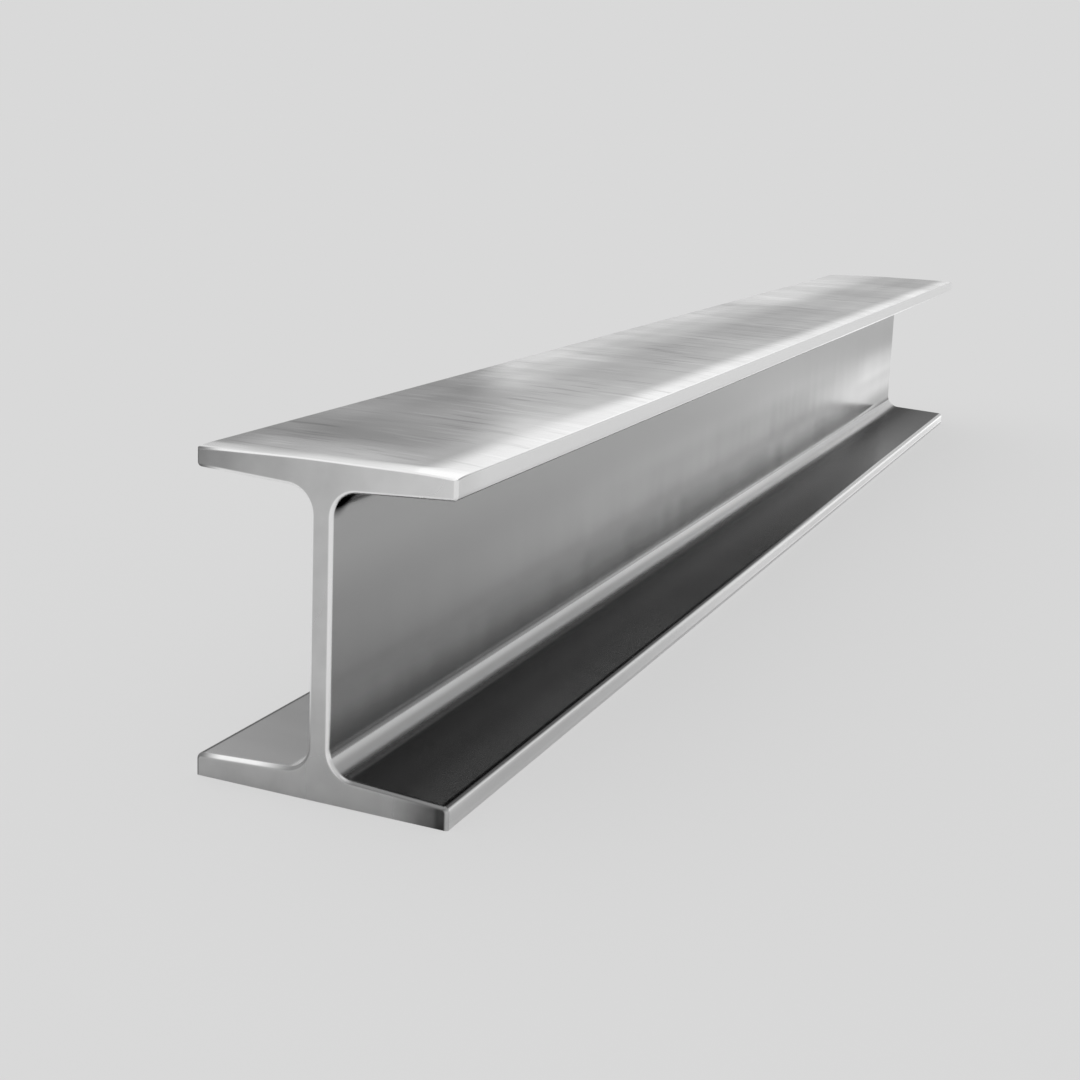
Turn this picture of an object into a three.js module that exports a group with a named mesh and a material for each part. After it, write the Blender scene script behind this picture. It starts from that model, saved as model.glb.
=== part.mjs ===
import * as THREE from 'three';

// Rolled steel joist: one length of I-section bar, cut to length with both ends dressed.
// Millimetres, +Z up. The bar lies along X on its lower flange, and the origin is the
// middle of its underside.

// Driving dimensions
const BEAM_LENGTH = 1165;
const SECTION_DEPTH = 152.4; // over both flanges
const FLANGE_WIDTH = 127;
const WEB_THICKNESS = 10.4;
const FLANGE_TIP_THICKNESS = 10.5; // at the free edges
const FLANGE_TAPER = 3; // degrees that each inner flange face slopes towards the web
const ROOT_RADIUS = 12; // fillet between web and flange
const TOE_RADIUS = 3; // inner corner of each flange tip
const END_CHAMFER_FACE = 2.2; // width of the dressed edge, measured on the cut face
const END_CHAMFER_RUN = 1; // length of the dressed edge, measured along the bar
const ARC_SEGMENTS = 10;

const steel = new THREE.MeshStandardMaterial({
  color: 0xa7a9ab,
  roughness: 0.35,
  metalness: 1,
});

// The three corners of one flange half, from its outer edge in to the web.
// x is across the bar and y is up, both from the centre of the section.
function quarterCorners() {
  const halfWidth = FLANGE_WIDTH / 2;
  const halfDepth = SECTION_DEPTH / 2;
  const halfWeb = WEB_THICKNESS / 2;
  const overhang = halfWidth - halfWeb;
  const toeHeight = halfDepth - FLANGE_TIP_THICKNESS;
  const rootHeight = toeHeight - overhang * Math.tan(THREE.MathUtils.degToRad(FLANGE_TAPER));
  return [
    { point: new THREE.Vector2(halfWidth, halfDepth), radius: 0 },
    { point: new THREE.Vector2(halfWidth, toeHeight), radius: TOE_RADIUS },
    { point: new THREE.Vector2(halfWeb, rootHeight), radius: ROOT_RADIUS },
  ];
}

// A copy of the corners in another quarter of the section.
function mirrored(corners, acrossSign, upSign) {
  const mirror = new THREE.Vector2(acrossSign, upSign);
  return corners.map(({ point, radius }) => ({ point: point.clone().multiply(mirror), radius }));
}

// The points that round one corner with an arc tangent to both of its sides.
function roundedCorner(corner, index, corners) {
  const { point, radius } = corner;
  if (radius === 0) return [point];
  const toPrevious = corners.at(index - 1).point.clone().sub(point).normalize();
  const toNext = corners[(index + 1) % corners.length].point.clone().sub(point).normalize();
  const halfAngle = toPrevious.angleTo(toNext) / 2;
  const tangentLength = radius / Math.tan(halfAngle);
  const bisector = toPrevious.clone().add(toNext).normalize();
  const centre = point.clone().addScaledVector(bisector, radius / Math.sin(halfAngle));
  const start = point.clone().addScaledVector(toPrevious, tangentLength).sub(centre);
  const end = point.clone().addScaledVector(toNext, tangentLength).sub(centre);
  const clockwise = toPrevious.cross(toNext) > 0;
  const arc = new THREE.ArcCurve(centre.x, centre.y, radius, start.angle(), end.angle(), clockwise);
  return arc.getPoints(ARC_SEGMENTS);
}

// The I section, drawn clockwise from its upper right corner.
function joistSection() {
  const outward = quarterCorners();
  const inward = outward.toReversed();
  const corners = [
    ...mirrored(outward, 1, 1),
    ...mirrored(inward, 1, -1),
    ...mirrored(outward, -1, -1),
    ...mirrored(inward, -1, 1),
  ];
  return new THREE.Shape(corners.flatMap(roundedCorner));
}

// The bar itself: the section run along its length, with a dressed edge round each end.
function rolledBar() {
  const plainLength = BEAM_LENGTH - 2 * END_CHAMFER_RUN;
  const geometry = new THREE.ExtrudeGeometry(joistSection(), {
    depth: plainLength,
    steps: 1,
    bevelEnabled: true,
    bevelSegments: 1,
    bevelThickness: END_CHAMFER_RUN,
    bevelSize: END_CHAMFER_FACE,
    bevelOffset: -END_CHAMFER_FACE,
  });
  geometry.translate(0, 0, -plainLength / 2);
  const bar = new THREE.Mesh(geometry, steel);
  bar.name = 'i_beam';
  return bar;
}

// Turns the extrusion axis to +X and the section's own y to +Z, and lifts the bar on to its flange.
function layAlongX(bar) {
  bar.rotation.set(Math.PI / 2, 0, Math.PI / 2, 'ZYX');
  bar.position.z = SECTION_DEPTH / 2;
  return bar;
}

const joist = new THREE.Group();
joist.add(layAlongX(rolledBar()));

export default joist;
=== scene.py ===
"""Looks of a rolled steel I-beam: a finer mesh, brushed steel, a plain studio and the camera.

Metres, +Z up, in the CAD's frame. The beam lies along X. The camera sees its -X end, its top
and its -Y side, so "near" is -X here, "far" is +X, "right" is -Y and "left" is +Y."""

import math

import bmesh
import bpy
from mathutils import Matrix, Quaternion, Vector


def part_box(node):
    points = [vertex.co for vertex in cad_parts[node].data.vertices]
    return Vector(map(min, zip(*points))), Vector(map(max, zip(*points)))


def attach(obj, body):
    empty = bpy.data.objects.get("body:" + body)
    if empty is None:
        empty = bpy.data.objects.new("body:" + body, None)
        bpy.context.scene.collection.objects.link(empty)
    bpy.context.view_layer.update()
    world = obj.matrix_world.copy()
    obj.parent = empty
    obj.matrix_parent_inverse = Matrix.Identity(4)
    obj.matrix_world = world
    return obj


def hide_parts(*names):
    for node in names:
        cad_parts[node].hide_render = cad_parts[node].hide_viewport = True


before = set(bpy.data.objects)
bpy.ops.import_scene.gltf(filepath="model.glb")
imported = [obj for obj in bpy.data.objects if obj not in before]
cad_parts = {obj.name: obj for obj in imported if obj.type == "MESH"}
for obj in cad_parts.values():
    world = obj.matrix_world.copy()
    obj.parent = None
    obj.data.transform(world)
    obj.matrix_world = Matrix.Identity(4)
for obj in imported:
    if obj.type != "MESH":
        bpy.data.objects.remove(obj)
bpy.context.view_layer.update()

MM = 0.001

# The rolled section. Its length, width and depth come from the frame.
lowest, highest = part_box("i_beam")
LENGTH, WIDTH, DEPTH = highest - lowest
WEB_THICKNESS = 10.4 * MM
TIP_THICKNESS = 10.5 * MM
FLANGE_TAPER = math.radians(3)
ROOT_RADIUS = 12 * MM
TOE_RADIUS = 3 * MM  # of the lower flange
TOP_TOE_RADIUS = 2.2 * MM
SHARPEST_RADIUS = 0.05 * MM

# The underside's long edges are nearly sharp, and are dressed less than the others at the ends.
UNDERSIDE_RADIUS = 0.25 * MM
UNDERSIDE_DRESSING = 0.15

# The top face: a soft shoulder along its -Y edge and across both ends, a crisp +Y edge a little lower.
CRISP_RADIUS = 0.6 * MM
CROWN_START = 10 * MM
CROWN_DROP = 1.12 * MM
CROWN_RADIUS = 500 * MM
CRISP_DRESSING = 0.35
TOP_DRESSING = 0.12
SHOULDER_WIDTH = 24 * MM
SHOULDER_TILT = math.radians(3.5)
SHOULDER_RADIUS = 360 * MM
END_SHOULDER_RADIUS = 90 * MM
END_SHOULDER_TILT = math.radians(6)

# The dressed edge round each cut end: how far it reaches over the face and along the beam.
DRESSED_FACE = 2.5 * MM
DRESSED_RUN = 1.9 * MM
END_FACE_INSET = 1.15 * DRESSED_FACE  # of the flat end face's own outline

# How finely the mesh is divided.
ROOT_STEPS = 14
EDGE_STEPS = 6
SHOULDER_STEPS = 8
CROWN_STEPS = 4
DRESSED_STEPS = 7
RING_SPACING = 20 * MM

# The camera.
CAMERA_AT = Vector((-1.1550, -0.3465, 0.2908))
CAMERA_HEADING = math.radians(23.40)  # from +X towards +Y
CAMERA_TILT = math.radians(-9.76)
CAMERA_ROLL = math.radians(2.17)
CAMERA_LENS = 53.82
CAMERA_SHIFT_Y = -0.12


def make_camera():
    data = bpy.data.cameras.new("camera")
    data.lens = CAMERA_LENS
    data.shift_y = CAMERA_SHIFT_Y
    camera = bpy.data.objects.new("camera", data)
    bpy.context.scene.collection.objects.link(camera)
    level = math.cos(CAMERA_TILT)
    forward = Vector((
        level * math.cos(CAMERA_HEADING),
        level * math.sin(CAMERA_HEADING),
        math.sin(CAMERA_TILT),
    ))
    upright = forward.to_track_quat("-Z", "Y")
    camera.rotation_euler = (upright @ Quaternion((0, 0, 1), CAMERA_ROLL)).to_euler()
    camera.location = CAMERA_AT
    bpy.context.scene.camera = camera


# The beam's mesh: rings of the section from one end to the other.


def rounded(corners, steps):
    """The corners' points, each corner an arc of its own radius and number of steps."""
    points = []
    for i, (corner, radius) in enumerate(corners):
        before = (corners[i - 1][0] - corner).normalized()
        after = (corners[(i + 1) % len(corners)][0] - corner).normalized()
        half = before.angle(after) / 2
        centre = corner + (before + after).normalized() * radius / math.sin(half)
        start = corner + before * radius / math.tan(half) - centre
        end = corner + after * radius / math.tan(half) - centre
        turn = start.angle_signed(end)
        for k in range(steps[i] + 1):
            spoke = start.copy()
            spoke.rotate(Matrix.Rotation(-turn * k / steps[i], 2))
            points.append(centre + spoke)
    return points


def outer_corners(inset, drop):
    """The outer corners of a flange half: with the soft edge, with the crisp one, and underneath.

    Each is a list of (corner, radius, steps), from the middle of the face outwards."""
    half_width = WIDTH / 2 - inset
    top = DEPTH / 2 - inset * TOP_DRESSING - drop
    brow = top - SHOULDER_WIDTH / 2 * math.tan(SHOULDER_TILT)
    crisp_height = DEPTH / 2 - inset * CRISP_DRESSING - drop - CROWN_DROP
    crisp_radius = max(CRISP_RADIUS - inset, SHARPEST_RADIUS)
    base = DEPTH / 2 - inset * UNDERSIDE_DRESSING
    base_radius = max(UNDERSIDE_RADIUS - inset, SHARPEST_RADIUS)
    soft = [
        ((half_width - SHOULDER_WIDTH / 2, top), SHOULDER_RADIUS, SHOULDER_STEPS),
        ((half_width, brow), crisp_radius, EDGE_STEPS),
    ]
    crisp = [
        ((CROWN_START, top), CROWN_RADIUS, CROWN_STEPS),
        ((half_width, crisp_height), crisp_radius, EDGE_STEPS),
    ]
    under = [((half_width, base), base_radius, EDGE_STEPS)]
    return soft, crisp, under


def inner_corners(inset, toe_radius):
    """The toe and the root of a flange half, as (corner, radius, steps)."""
    half_width = WIDTH / 2 - inset
    half_web = WEB_THICKNESS / 2 - inset
    slope = math.tan(FLANGE_TAPER)
    inner_face = DEPTH / 2 - TIP_THICKNESS + inset / math.cos(FLANGE_TAPER)
    toe_height = inner_face - inset * slope
    root_height = inner_face - (WIDTH / 2 - half_web) * slope
    return [
        ((half_width, toe_height), max(toe_radius - inset, SHARPEST_RADIUS), EDGE_STEPS),
        ((half_web, root_height), ROOT_RADIUS + inset, ROOT_STEPS),
    ]


def section(inset, drop):
    """The I section in (y, z), shrunk by inset all round and by drop more on its top face."""
    soft, crisp, under = outer_corners(inset, drop)
    upper_inner = inner_corners(inset, TOP_TOE_RADIUS)
    lower_inner = inner_corners(inset, TOE_RADIUS)
    quarters = (
        (1, 1, crisp + upper_inner),
        (1, -1, under + lower_inner),
        (-1, -1, under + lower_inner),
        (-1, 1, soft + upper_inner),
    )
    corners, steps = [], []
    for across, up, quarter in quarters:
        for (y, z), radius, count in (quarter if across * up > 0 else quarter[::-1]):
            corners.append((Vector((y * across, z * up)), radius))
            steps.append(count)
    return [Vector((p.x, p.y + DEPTH / 2)) for p in rounded(corners, steps)]


def near_rings():
    """(distance from the cut, inset) of the rings over the dressed edge and the end's shoulder."""
    arc = END_SHOULDER_RADIUS * math.sin(END_SHOULDER_TILT)
    near = [(0.0, END_FACE_INSET)]
    for k in range(DRESSED_STEPS + 1):
        tilt = math.pi / 2 * (1 - k / DRESSED_STEPS)
        near.append((DRESSED_RUN * (1 - math.sin(tilt)), DRESSED_FACE * (1 - math.cos(tilt))))
    for k in range(1, SHOULDER_STEPS + 1):
        near.append((DRESSED_RUN + arc * k / SHOULDER_STEPS, 0.0))
    return near


def shoulder_drop(reach):
    """How far the top face falls at this reach beyond the start of an end's shoulder."""
    arc = END_SHOULDER_RADIUS * math.sin(END_SHOULDER_TILT)
    bend = min(reach, arc)
    drop = END_SHOULDER_RADIUS - math.sqrt(END_SHOULDER_RADIUS ** 2 - bend ** 2)
    return drop + (reach - bend) * math.tan(END_SHOULDER_TILT)


def rings():
    """(x, inset, drop) of each ring of the mesh, from one end face to the other."""
    near = near_rings()
    start = near[-1][0]
    plain = LENGTH - 2 * start
    count = round(plain / RING_SPACING)
    middle = [(start + plain * k / count, 0.0) for k in range(1, count)]
    far = [(LENGTH - x, inset) for x, inset in reversed(near)]
    placed = []
    for x, inset in near + middle + far:
        reach = max(start - min(x, LENGTH - x), 0.0)
        placed.append((x - LENGTH / 2, inset, shoulder_drop(reach)))
    return placed


def build_beam():
    mesh = bpy.data.meshes.new("rolled_beam")
    bm = bmesh.new()
    loops = [[bm.verts.new((x, p.x, p.y)) for p in section(inset, drop)] for x, inset, drop in rings()]
    for a, b in zip(loops, loops[1:]):
        for i in range(len(a)):
            j = (i + 1) % len(a)
            bm.faces.new((a[i], a[j], b[j], b[i]))
    bm.faces.new(loops[0])
    bm.faces.new(reversed(loops[-1]))
    bmesh.ops.recalc_face_normals(bm, faces=bm.faces)
    for f in bm.faces:
        f.smooth = True
    bm.to_mesh(mesh)
    bm.free()
    beam = bpy.data.objects.new("rolled_beam", mesh)
    bpy.context.scene.collection.objects.link(beam)
    weighted = beam.modifiers.new("weighted_normals", "WEIGHTED_NORMAL")
    weighted.weight = 100
    weighted.keep_sharp = True
    return beam


class Nodes:
    """Short names for building a node tree."""

    def __init__(self, tree):
        self.tree = tree

    def add(self, kind, **settings):
        node = self.tree.nodes.new(kind)
        for name, value in settings.items():
            setattr(node, name, value)
        return node

    def put(self, socket, value):
        if isinstance(value, bpy.types.NodeSocket):
            self.tree.links.new(value, socket)
        else:
            socket.default_value = value

    def math(self, operation, a, b=0.0, c=0.0, clamp=False):
        node = self.add("ShaderNodeMath", operation=operation, use_clamp=clamp)
        for socket, value in zip(node.inputs, (a, b, c)):
            self.put(socket, value)
        return node.outputs[0]

    def product(self, first, *others):
        for other in others:
            first = self.math("MULTIPLY", first, other)
        return first

    def opposite(self, share):
        return self.math("SUBTRACT", 1.0, share)

    def about_middle(self, noise):
        """A noise of 0 to 1, moved to lie about 0."""
        return self.math("SUBTRACT", noise, 0.5)

    def smooth(self, value, start, stop, low=0.0, high=1.0):
        """A smooth step from low, where the value is at start, to high, where it is at stop."""
        node = self.add("ShaderNodeMapRange", interpolation_type="SMOOTHSTEP")
        names = ("Value", "From Min", "From Max", "To Min", "To Max")
        for name, v in zip(names, (value, start, stop, low, high)):
            self.put(node.inputs[name], v)
        return node.outputs["Result"]

    def blend(self, share, a, b):
        node = self.add("ShaderNodeMix", data_type="FLOAT")
        for socket, value in zip((node.inputs[0], node.inputs[2], node.inputs[3]), (share, a, b)):
            self.put(socket, value)
        return node.outputs[0]

    def noise(self, vector, scale, stretch, detail, roughness):
        mapping = self.add("ShaderNodeMapping")
        self.put(mapping.inputs["Vector"], vector)
        mapping.inputs["Scale"].default_value = [scale * s for s in stretch]
        node = self.add("ShaderNodeTexNoise")
        self.put(node.inputs["Vector"], mapping.outputs[0])
        node.inputs["Scale"].default_value = 1.0
        node.inputs["Detail"].default_value = detail
        node.inputs["Roughness"].default_value = roughness
        return node.outputs["Fac"]

    def grey(self, value):
        node = self.add("ShaderNodeCombineColor")
        for socket in node.inputs:
            self.put(socket, value)
        return node.outputs[0]


# The steel's tone, painted in object space. It was set by comparing renders with the photograph.
# A measure is a length, such as z. A mask is a share of 0 to 1, such as low.
# A ramp is a mask's name, or a measure's name with the millimetres where it is 0 and where it is 1.
# Most of this tone is painted light and shade: each face's grey and its patches stand in for highlights,
# reflections and shade.
FLANGE_TONE = 0.268  # the top face
# a painted highlight along the top face's right shoulder
SHOULDER_HIGHLIGHT_TONE = 0.92
WEB_TONE = 0.45
INNER_TONE = 0.19  # the flanges' inner faces on the right, at the toe: painted shade, far darker than on the left
LEFT_INNER_TONE = 0.43
# a painted dark line along the lower flange's right toe, over the near part of the beam
TOE_LINE_DARKENING = -0.9
# a painted highlight along the lower root fillets
FILLET_TONE = 0.74
SIDE_TONE = 0.88
END_TONE = 0.60
EDGE_TONE = 1.0  # the dressed edges: bright ground steel, with a painted highlight on top
# the dressed edge along the top face's right corner, with less of the painted highlight
CREST_TONE = 0.85
# painted shade on the dressed edges at the lower flange's roots, and painted highlights on its left and right
# edges
ROOT_EDGE_TONE = 0.24
LEFT_EDGE_TONE = 0.92
RIGHT_EDGE_TONE = 0.62
# painted shade on the dressed edges along the left rim
SHADED_LEFT_RIM_TONE = 0.15
# the painted shade of the dark spot
SPOT_TONE = 0.01

# Measures that are sums: how far y counts in the slanting edge of the top face's painted light, and x in the
# line over the web's painted pale foot.
SLANT = -2.05
FOOT_RISE = 0.155

DARK_SPOT = (-0.578, -0.012, 0.138)  # a spot of painted shade in the near upper root, under the top flange

# Each mask is the product of its ramps, and may use the masks before it.
MASKS = {
    "high": [("z", 91.44, 137.16)],
    "low": [("z", 60.96, 15.24)],
    "left": [("y", -5, 5)],
    "channel": [("flange_depth", 8.0, 9.5)],
    "web": [("across", 16.4, 6.2)],
    "fillet": [("off_root", 1.4, 0.2), ("z", 12.8, 16), ("z", 21.2, 19.6)],
    "toe": ["low", ("z", 6, 9)],
    "toe_line": ["low", ("side_gap", 4, 3), ("x", 100, -200)],
    "end_face": [("end_gap", 0.30, 0.05)],
    "dressed": [("end_gap", 2.3, 1.3)],
    "shaded_left_rim": [("y", 49.5, 62.5)],
    "crest": [("top_gap", 4.5, 2.5), ("y", -62.5, -60.5)],
    "beyond": [("slant", -450, -375)],
}

# The flanges' outer sides, which reach further round the lower toe at the far end.
SIDE_REACH = {"far_lower_toe": (-1.4 * MM, ["low", ("x", -100, 300)])}
SIDE_MASK = [("side_reach", 1.6, 0.2)]

# Where the painted highlight lies on the top face's soft right shoulder: its inner edge moves out in two
# steps towards the far end.
SHOULDER_REACH = {
    "past_near_end": (4 * MM, [("x", -450, -330)]),
    "past_middle": (2 * MM, [("x", -200, 50)]),
}
SHOULDER_MASK = [("shoulder_reach", -40, -54)]

SPOT_MASK = [("off_spot", 14, 7), "undressed"]

# Each patch adds its amount, in full where all of its ramps are at 1.
# The top face's painted light and shade: paler bands of painted reflection past the slant, on the left half
# and rim, near the right and in the far middle; painted shade past the near end and over the far half.
TOP_FACE_PATCHES = {
    "far_of_slant": (0.20, ["beyond"]),
    "far_of_near_end": (-0.13, [("x", -420, -330)]),
    "far_half": (-0.11, [("x", -120, 20)]),
    "left_edge": (0.07, [("y", 32, 50)]),
    "middle": (0.03, [("y", -28, -8), ("y", 30, 10)]),
    "far_middle": (0.10, [("y", -28, -8), ("y", 30, 10), ("x", 330, 450)]),
    "near_painted_highlight": (0.20, [("x", -580, -480), ("x", -380, -460), ("y", -8, -42)]),
    "right_painted_highlight": (0.08, [("y", -15, -40)]),
    "left_rim": (0.20, ["beyond", ("y", 34, 56), ("x", 200, 100)]),
    "left_half": (0.38, ["beyond", ("y", 0, 34)]),
    "far_left_half": (0.10, ["beyond", ("y", 0, 34), ("x", 200, 450)]),
}
# Painted highlights at the near end's top edge: a line along it, and painted light rising towards it.
END_HIGHLIGHT_LINE = (0.50, [("near_gap", 15, 9)])
END_HIGHLIGHT_RISE = (0.48, [("near_gap", 58, 12), ("y", -56, -10), ("y", 66, 34)])
# The web's painted light and shade: a pale foot and a far gleam as painted reflection, darker bands as
# painted shade, and a painted dark line just over the lower fillet.
WEB_PATCHES = {
    "pale_foot": (0.55, [("z", 56, 34), ("foot_line", 108, 88)]),
    "lower_three_quarters": (-0.08, [("z", 115, 85)]),
    "middle_band": (-0.08, [("z", 88, 72), ("z", 40, 52), ("x", -350, -100), ("x", 380, 280)]),
    "far_gleam": (0.15, [("z", 50, 60), ("z", 88, 70), ("x", 380, 480)]),
    "far_foot": (-0.30, [("z", 44, 26), ("x", 400, 520)]),
    "far_shade_line": (-0.38, [("z", 19.6, 20.8), ("z", 24.6, 22.6), ("x", 520, 420)]),
    "near_shade_line": (-0.26, [("z", 19.6, 20.8), ("z", 24.6, 22.6), ("x", -50, -550)]),
}
# Painted shade on the right inner faces towards the web, and painted light near the lower toe at the near
# end.
INNER_PATCHES = {
    "towards_web": (-0.12, [("y", -54, -20)]),
    "near_toe": (0.25, [("y", -36, -58), ("x", -50, -500)]),
}
# The lower fillets' painted highlight: brighter towards the far end and high on the fillet, but painted
# darker high up at the far end.
FILLET_PATCHES = {
    "far": (0.26, [("x", -350, 100)]),
    "upper": (0.12, [("z", 17, 19.5)]),
    "far_upper": (-0.28, [("z", 17, 19.5), ("x", -200, 400)]),
}
# The flanges' outer sides: painted highlight at the lower toe and high on the upper flange; painted shade in
# a low band, most at the far end, and at the near upper corner.
SIDE_PATCHES = {
    "toe": (0.07, ["toe"]),
    "low_band": (-0.063, [("z", 8.4, 6.6), ("z", 1.5, 3.5)]),
    "far_low_band": (-0.357, [("z", 8.4, 6.6), ("z", 1.5, 3.5), ("x", -250, 150)]),
    "upper_flange": (0.05, [("top_gap", 9, 7)]),
    "near_upper_corner": (-0.10, ["high", ("near_gap", 30, 5)]),
}
# Painted shade on the end faces: darker to the upper left than the upper right, and along the bottom, most at
# the lower right.
END_PATCHES = {
    "upper_left_to_right": (-0.22, ["high", "slope"]),
    "upper_left": (-0.07, ["high", ("y", 30, 54)]),
    "lower": (-0.105, ["low"]),
    "lower_right": (-0.37, ["low", ("y", -33, -59)]),
    "lower_right_corner": (-0.08, ["low", ("y", -56, -59)]),
}

# The brushing: each noise's scale, stretch in x, y and z, detail and roughness.
BRUSH_SKEW = math.radians(7)
NOISES = {
    "wide": (8, (1, 0.5, 0.5), 2, 0.5),
    "patch": (25, (1, 0.6, 0.6), 1, 0.5),
    "streak": (75, (1, 0.13, 0.13), 3, 0.6),
    "dash": (260, (1, 0.09, 0.09), 1, 0.5),
}
MOTTLE = (60, (1, 1, 1), 3, 0.6)
STREAK_GAIN = 0.26
DARK_DASH = -0.17
DARK_DASH_LEVELS = (0.60, 0.72)  # of the dash noise, where a dash starts and where it is full
PALE_DASH = 0.10
PALE_DASH_LEVELS = (0.40, 0.28)
FAINTEST_BRUSHING = 0.6
BRUSHING_LEVELS = (0.40, 0.62)  # of the patch noise
WIDE_GAIN = 0.45
MOTTLE_GAIN = 0.16

ROUGHNESS = 0.20
STREAK_ROUGHNESS = 0.08
WIDE_ROUGHNESS = 0.10
DRESSED_ROUGHNESS = 0.08
FILLET_ROUGHNESS = 0.22
ANISOTROPY = 0.6
BRUSH_TANGENT = (1, 0, 0.05)

# How much grazing reflection is taken away as painted shade on the lower flange's right inner face, at its
# toe and at its root, and at the dark spot.
TOE_TINT_SHADE = 0.18
ROOT_TINT_SHADE = 0.32
SPOT_TINT_SHADE = 0.85


def off_root(n, across, up):
    """How far a point is from the root fillets' arcs."""
    centre_across = WEB_THICKNESS / 2 + ROOT_RADIUS
    centre_up = DEPTH / 2 - TIP_THICKNESS - (WIDTH / 2 - centre_across) * math.tan(FLANGE_TAPER)
    centre_up -= ROOT_RADIUS / math.cos(FLANGE_TAPER)
    squares = n.math("POWER", n.math("SUBTRACT", across, centre_across), 2)
    squares = n.math("ADD", squares, n.math("POWER", n.math("SUBTRACT", up, centre_up), 2))
    return n.math("ABSOLUTE", n.math("SUBTRACT", n.math("SQRT", squares), ROOT_RADIUS))


def off_spot(n, point):
    """How far a point is from the dark spot."""
    gap = n.add("ShaderNodeVectorMath", operation="DISTANCE")
    n.put(gap.inputs[0], point)
    gap.inputs[1].default_value = DARK_SPOT
    return gap.outputs["Value"]


def measures(n):
    """The measures that the ramps use, the point itself, and the slope from left (1) to right (-1)."""
    point = n.add("ShaderNodeTexCoord").outputs["Object"]
    xyz = n.add("ShaderNodeSeparateXYZ")
    n.put(xyz.inputs[0], point)
    x, y, z = xyz.outputs
    across = n.math("ABSOLUTE", y)
    up = n.math("ABSOLUTE", n.math("SUBTRACT", z, DEPTH / 2))
    return {
        "point": point,
        "x": x,
        "y": y,
        "z": z,
        "across": across,
        "slope": n.math("DIVIDE", y, WIDTH / 2),
        "near_gap": n.math("ADD", x, LENGTH / 2),
        "end_gap": n.math("SUBTRACT", LENGTH / 2, n.math("ABSOLUTE", x)),
        "side_gap": n.math("SUBTRACT", WIDTH / 2, across),
        "top_gap": n.math("SUBTRACT", DEPTH, z),
        "flange_depth": n.math("SUBTRACT", DEPTH / 2, up),
        "off_root": off_root(n, across, up),
        "off_spot": off_spot(n, point),
        "slant": n.math("MULTIPLY_ADD", y, SLANT, x),
        "foot_line": n.math("MULTIPLY_ADD", x, FOOT_RISE, z),
    }


def share(n, at, ramps):
    """The product of ramps."""
    parts = [at[r] if isinstance(r, str) else n.smooth(at[r[0]], r[1] * MM, r[2] * MM) for r in ramps]
    return n.product(*parts)


def patched(n, at, value, patches):
    """A tone or a measure with its patches added."""
    for amount, ramps in patches.values():
        value = n.math("MULTIPLY_ADD", share(n, at, ramps), amount, value)
    return value


def add_masks(n, at):
    for name, ramps in MASKS.items():
        at[name] = share(n, at, ramps)
    at["side_reach"] = patched(n, at, at["side_gap"], SIDE_REACH)
    at["side"] = share(n, at, SIDE_MASK)
    at["shoulder_reach"] = patched(n, at, at["y"], SHOULDER_REACH)
    at["shoulder"] = share(n, at, SHOULDER_MASK)
    at["undressed"] = n.opposite(at["dressed"])
    at["spot"] = share(n, at, SPOT_MASK)
    plain = n.opposite(n.math("MAXIMUM", at["dressed"], at["side"]))
    at["brushed"] = n.product(n.opposite(at["channel"]), plain)


def brush_noises(n, point):
    """The noises of the brushing, which runs a little askew across the beam."""
    turned = n.add("ShaderNodeVectorRotate", rotation_type="Z_AXIS")
    n.put(turned.inputs["Vector"], point)
    turned.inputs["Angle"].default_value = BRUSH_SKEW
    return {name: n.noise(turned.outputs[0], *settings) for name, settings in NOISES.items()}


def grain(n, at, noises):
    """What the brushing of the outer faces and the mottling of the end faces add to the tone."""
    marks = n.product(n.about_middle(noises["streak"]), STREAK_GAIN)
    marks = n.math("MULTIPLY_ADD", n.smooth(noises["dash"], *DARK_DASH_LEVELS), DARK_DASH, marks)
    marks = n.math("MULTIPLY_ADD", n.smooth(noises["dash"], *PALE_DASH_LEVELS), PALE_DASH, marks)
    marks = n.product(marks, n.smooth(noises["patch"], *BRUSHING_LEVELS, FAINTEST_BRUSHING, 1.0))
    marks = n.math("MULTIPLY_ADD", n.about_middle(noises["wide"]), WIDE_GAIN, marks)
    marks = n.product(marks, at["brushed"])
    mottling = n.product(n.about_middle(n.noise(at["point"], *MOTTLE)), at["end_face"])
    return n.math("MULTIPLY_ADD", mottling, MOTTLE_GAIN, marks)


def top_face_tone(n, at):
    tone = patched(n, at, FLANGE_TONE, TOP_FACE_PATCHES)
    # the painted highlight along the right shoulder
    tone = n.blend(at["shoulder"], tone, SHOULDER_HIGHLIGHT_TONE)
    # the painted highlight at the near end's top edge, and the painted light rising towards it
    line, rise = [n.product(share(n, at, ramps), amount) for amount, ramps in (END_HIGHLIGHT_LINE, END_HIGHLIGHT_RISE)]
    return n.math("ADD", tone, n.math("MAXIMUM", line, rise))


def channel_tone(n, at):
    """The web, the fillets and the flanges' inner faces."""
    inner = n.blend(at["left"], patched(n, at, INNER_TONE, INNER_PATCHES), LEFT_INNER_TONE)
    inner = n.product(inner, n.math("MULTIPLY_ADD", at["toe_line"], TOE_LINE_DARKENING, 1))
    inner = n.blend(at["web"], inner, patched(n, at, WEB_TONE, WEB_PATCHES))
    return n.blend(at["fillet"], inner, patched(n, at, FILLET_TONE, FILLET_PATCHES))


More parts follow.
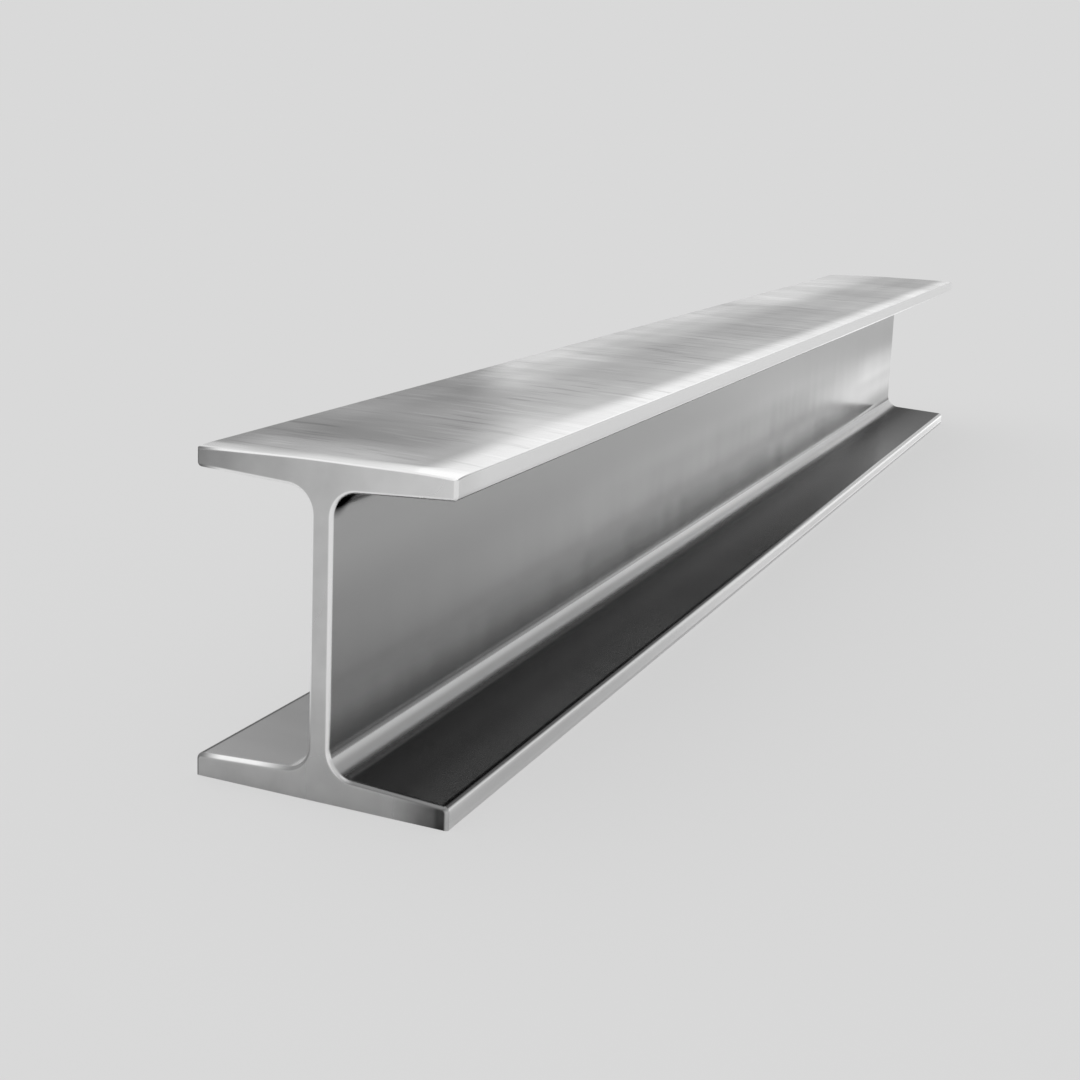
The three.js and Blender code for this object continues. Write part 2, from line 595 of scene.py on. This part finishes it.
def dressed_tone(n, at):
    """The dressed edges: bright, with a painted highlight, but with painted shade at the lower flange's roots
    and along the left rim.
    """
    ring = n.blend(at["crest"], EDGE_TONE, CREST_TONE)
    left_edge = n.blend(share(n, at, [("y", 12, 34)]), ROOT_EDGE_TONE, LEFT_EDGE_TONE)
    ring = n.blend(share(n, at, ["low", "left"]), ring, left_edge)
    right_edge = n.blend(share(n, at, [("y", -61, -63)]), ROOT_EDGE_TONE, RIGHT_EDGE_TONE)
    ring = n.blend(share(n, at, ["low", ("y", -8, -18)]), ring, right_edge)
    return n.blend(at["shaded_left_rim"], ring, SHADED_LEFT_RIM_TONE)


def whole_tone(n, at, noises):
    tone = n.blend(at["channel"], top_face_tone(n, at), channel_tone(n, at))
    tone = n.blend(at["side"], tone, patched(n, at, SIDE_TONE, SIDE_PATCHES))
    tone = n.blend(at["dressed"], tone, dressed_tone(n, at))
    tone = n.blend(at["end_face"], tone, patched(n, at, END_TONE, END_PATCHES))
    tone = n.math("ADD", n.math("MINIMUM", tone, 1.0), grain(n, at, noises), clamp=True)
    return n.blend(at["spot"], tone, SPOT_TONE)


def edge_tint(n, at):
    """How much of the steel's grazing reflection is left: less where shade is painted."""
    shaded_inner = n.product(at["channel"], at["low"], n.opposite(at["left"]), n.opposite(at["web"]))
    tint_shade = n.product(shaded_inner, n.blend(share(n, at, [("y", -38, -22)]), TOE_TINT_SHADE, ROOT_TINT_SHADE))
    return n.opposite(n.math("MULTIPLY_ADD", at["spot"], SPOT_TINT_SHADE, tint_shade))


def roughness(n, at, noises):
    rough = n.math("MULTIPLY_ADD", n.about_middle(noises["streak"]), STREAK_ROUGHNESS, ROUGHNESS)
    rough = n.math("MULTIPLY_ADD", n.about_middle(noises["wide"]), WIDE_ROUGHNESS, rough)
    rough = n.math("MULTIPLY_ADD", at["dressed"], DRESSED_ROUGHNESS, rough)
    return n.math("MULTIPLY_ADD", at["fillet"], FILLET_ROUGHNESS, rough)


def steel():
    # brushed steel, with light and shade painted into its colour and its grazing reflection
    material = bpy.data.materials.new("brushed_steel")
    material.use_nodes = True
    n = Nodes(material.node_tree)
    at = measures(n)
    add_masks(n, at)
    noises = brush_noises(n, at["point"])
    tangent = n.add("ShaderNodeCombineXYZ")
    for socket, value in zip(tangent.inputs, BRUSH_TANGENT):
        socket.default_value = value
    sockets = material.node_tree.nodes["Principled BSDF"].inputs
    sockets["Metallic"].default_value = 1
    n.put(sockets["Base Color"], n.grey(whole_tone(n, at, noises)))
    n.put(sockets["Specular Tint"], n.grey(edge_tint(n, at)))
    n.put(sockets["Roughness"], roughness(n, at, noises))
    n.put(sockets["Anisotropic"], n.product(at["brushed"], ANISOTROPY))
    n.put(sockets["Tangent"], tangent.outputs[0])
    return material


# The studio: a pale floor and sky, one very soft lamp, and cards that only reflections show.
PALE = 0.694  # the backdrop, as a linear value
FLOOR_TONE = 0.8
FLOOR_WIDTH = 120
FLOOR_GLOSS_SHARE = 0.1  # how far reflections show the floor as backdrop
SHADOW_SHARE = 0.2
SKY_TONE = 0.42  # what reflections show overhead, from SKY_FULL up. Below SKY_START they show PALE.
SKY_START = math.radians(6)
SKY_FULL = math.radians(22)
KEY_SHARE = 0.35  # of the light on the floor
KEY_AZIMUTH = 95  # in degrees, from +X towards +Y
KEY_ELEVATION = 55  # in degrees
KEY_SOFTNESS = math.radians(110)

ALONG = (1, 0, 0)
BACKWARD = (-1, 0, 0)
UPWARD = (0, 0, 1)
DOWNWARD = (0, 0, -1)


def toward(azimuth, elevation, distance, start):
    """The point at this distance from start, by an azimuth from +X and an elevation in degrees."""
    a, e = math.radians(azimuth), math.radians(elevation)
    direction = Vector((math.cos(a) * math.cos(e), math.sin(a) * math.cos(e), math.sin(e)))
    return Vector(start) + distance * direction


def in_reflections(n, path):
    return n.math("MAXIMUM", path.outputs["Is Glossy Ray"], path.outputs["Is Transmission Ray"])


def square(name, width, height):
    """A flat stage piece on the XY plane, with its centre at the origin."""
    mesh = bpy.data.meshes.new(name)
    bm = bmesh.new()
    bmesh.ops.create_grid(bm, x_segments=1, y_segments=1, size=0.5)
    bmesh.ops.scale(bm, vec=(width, height, 1), verts=bm.verts)
    bm.to_mesh(mesh)
    bm.free()
    obj = bpy.data.objects.new(name, mesh)
    bpy.context.scene.collection.objects.link(obj)
    return obj


def bare_material(name):
    """A material with only its output node, and the helper for its tree."""
    paint = bpy.data.materials.new(name)
    paint.use_nodes = True
    paint.cycles.emission_sampling = "NONE"
    paint.node_tree.nodes.remove(paint.node_tree.nodes["Principled BSDF"])
    return paint, Nodes(paint.node_tree)


def pale_floor():
    """A floor that the camera sees as the backdrop, with only a share of the real shadow."""
    floor = square("floor", FLOOR_WIDTH, FLOOR_WIDTH)
    paint, n = bare_material("floor")
    diffuse = n.add("ShaderNodeBsdfDiffuse")
    diffuse.inputs["Color"].default_value = (FLOOR_TONE,) * 3 + (1,)
    glow = n.add("ShaderNodeEmission")
    glow.inputs["Color"].default_value = (PALE,) * 3 + (1,)
    path = n.add("ShaderNodeLightPath")
    seen = n.math(
        "MULTIPLY_ADD", in_reflections(n, path), FLOOR_GLOSS_SHARE, path.outputs["Is Camera Ray"], clamp=True,
    )
    mix = n.add("ShaderNodeMixShader")
    n.put(mix.inputs[0], n.product(seen, 1 - SHADOW_SHARE))
    n.put(mix.inputs[1], diffuse.outputs[0])
    n.put(mix.inputs[2], glow.outputs[0])
    n.put(paint.node_tree.nodes["Material Output"].inputs["Surface"], mix.outputs[0])
    floor.data.materials.append(paint)


def soft_sky():
    """A plain world: the backdrop to the camera, darker overhead to reflections, even light elsewhere."""
    world = bpy.data.worlds.new("studio")
    bpy.context.scene.world = world
    world.use_nodes = True
    n = Nodes(world.node_tree)
    up = n.add("ShaderNodeSeparateXYZ")
    n.put(up.inputs[0], n.add("ShaderNodeTexCoord").outputs["Generated"])
    ambient = PALE * (1 - KEY_SHARE) / FLOOR_TONE
    overhead = n.smooth(up.outputs[2], math.sin(SKY_START), math.sin(SKY_FULL), PALE, SKY_TONE)
    path = n.add("ShaderNodeLightPath")
    gloss = in_reflections(n, path)
    shown = n.product(gloss, overhead)
    shown = n.math("MULTIPLY_ADD", path.outputs["Is Camera Ray"], PALE, shown)
    other = n.opposite(n.math("MAXIMUM", path.outputs["Is Camera Ray"], gloss))
    shown = n.math("MULTIPLY_ADD", other, ambient, shown)
    n.put(world.node_tree.nodes["Background"].inputs["Color"], n.grey(shown))


def key_light():
    """The one lamp, which gives its share of the light on the floor."""
    data = bpy.data.lights.new("key", "SUN")
    data.energy = PALE * KEY_SHARE * math.pi / (FLOOR_TONE * math.sin(math.radians(KEY_ELEVATION)))
    data.angle = KEY_SOFTNESS
    lamp = bpy.data.objects.new("key", data)
    bpy.context.scene.collection.objects.link(lamp)
    lamp.location = toward(KEY_AZIMUTH, KEY_ELEVATION, 1, (0, 0, 0))
    lamp.rotation_euler = (-lamp.location).to_track_quat("-Z", "Y").to_euler()
    lamp.visible_camera = False


def card_paint(name, size, radiance, feather, adds):
    """A card's glow, and how its edges fade."""
    width, height = size
    left_feather, right_feather, lower_feather, upper_feather = feather
    paint, n = bare_material(name)
    xyz = n.add("ShaderNodeSeparateXYZ")
    n.put(xyz.inputs[0], n.add("ShaderNodeTexCoord").outputs["Object"])
    left = n.smooth(xyz.outputs[0], -width / 2, left_feather - width / 2)
    right = n.smooth(xyz.outputs[0], width / 2, width / 2 - right_feather)
    lower = n.smooth(xyz.outputs[1], -height / 2, lower_feather - height / 2)
    upper = n.smooth(xyz.outputs[1], height / 2, height / 2 - upper_feather)
    cover = n.product(left, right, n.product(lower, upper))
    strength = n.add("ShaderNodeMapRange")
    n.put(strength.inputs["Value"], xyz.outputs[0])
    names = ("From Min", "From Max", "To Min", "To Max")
    for socket, value in zip(names, (-width / 2, width / 2, *radiance)):
        strength.inputs[socket].default_value = value
    glow = n.add("ShaderNodeEmission")
    glow.inputs["Color"].default_value = (1, 1, 1, 1)
    clear = n.add("ShaderNodeBsdfTransparent")
    if adds:
        mix = n.add("ShaderNodeAddShader")
        n.put(glow.inputs["Strength"], n.product(cover, strength.outputs[0]))
        n.put(mix.inputs[0], clear.outputs[0])
        n.put(mix.inputs[1], glow.outputs[0])
    else:
        mix = n.add("ShaderNodeMixShader")
        n.put(glow.inputs["Strength"], strength.outputs[0])
        n.put(mix.inputs[0], cover)
        n.put(mix.inputs[1], clear.outputs[0])
        n.put(mix.inputs[2], glow.outputs[0])
    n.put(paint.node_tree.nodes["Material Output"].inputs["Surface"], mix.outputs[0])
    return paint


def card(name, at, facing, size, radiance, feather, level=None, adds=False):
    """A soft-edged card that only reflections show.

    level is the direction of its width. radiance is its glow at the two ends of its width.
    feather is how softly its left, right, lower and upper edges fade.
    adds makes it glow over what is behind it."""
    obj = square(name, *size)
    facing = Vector(facing).normalized()
    level = Vector(level).normalized() if level else Vector(UPWARD).cross(facing).normalized()
    obj.rotation_euler = Matrix((level, facing.cross(level), facing)).transposed().to_euler()
    obj.location = at
    obj.visible_camera = False
    obj.visible_diffuse = False
    obj.visible_shadow = False
    obj.data.materials.append(card_paint(name, size, radiance, feather, adds))


def light_cards():
    """The bright cards: for the near end's top edge, the lower fillet, the right edges and the top face.

    floor_glow is for the web and the flanges' sides, which reflect the floor."""
    corner = Vector((-LENGTH / 2, 0, DEPTH))
    end_card = toward(35, 25, 0.8, corner)
    card(
        "end_card", end_card, corner - end_card, size=(0.8, 0.38),
        radiance=(0.98, 0.98), feather=(0.25, 0.25, 0.14, 0.14),
    )
    card(
        "fillet_strip", (1.0, -0.175, 0.40), DOWNWARD, size=(2.4, 0.25),
        radiance=(1.38, 0.56), feather=(0.2, 0.2, 0.04, 0.18), level=ALONG,
    )
    card(
        "edge_strip", (1.2, 0.19, 0.401), DOWNWARD, size=(2.8, 0.56),
        radiance=(1.22, 0.69), feather=(0.5, 0.9, 0.11, 0.04), level=ALONG,
    )
    card(
        "window", toward(23.6, 10, 8, (-0.38, 0, DEPTH)), (-1, -0.437, 0), size=(0.62, 4.2),
        radiance=(0.95, 0.95), feather=(0.3, 0.3, 1.0, 1.0),
    )
    card(
        "floor_glow", (0.45, -0.065, 0.002), UPWARD, size=(2.1, 0.30),
        radiance=(0.6, 0.7), feather=(0.9, 0.9, 0.14, 0.14), level=ALONG, adds=True,
    )


def dark_cards():
    """The dark cards: for the web, the top face, and the lower flange's inner face at the far end."""
    card(
        "side_flag", (2.9, -1.0, 1.14), (0, 1, 0), size=(4.6, 0.62),
        radiance=(0.25, 0.02), feather=(0.5, 0.5, 0.16, 0.2), level=BACKWARD,
    )
    card(
        "top_flag", (3.0, 1.46, 0.64), BACKWARD, size=(2.7, 0.9),
        radiance=(0.58, 0.40), feather=(0.4, 0.4, 0.2, 0.2), level=(0, 0.953, 0.302),
    )
    card(
        "far_flag", (1.0, 0.055, 0.09), BACKWARD, size=(0.20, 0.16),
        radiance=(0.10, 0.36), feather=(0.05, 0.05, 0.04, 0.04),
    )


make_camera()
beam = build_beam()
beam.data.materials.append(steel())
pale_floor()
soft_sky()
key_light()
light_cards()
dark_cards()
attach(beam, "root")
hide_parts("i_beam")

bpy.context.scene.view_settings.view_transform = "Standard"
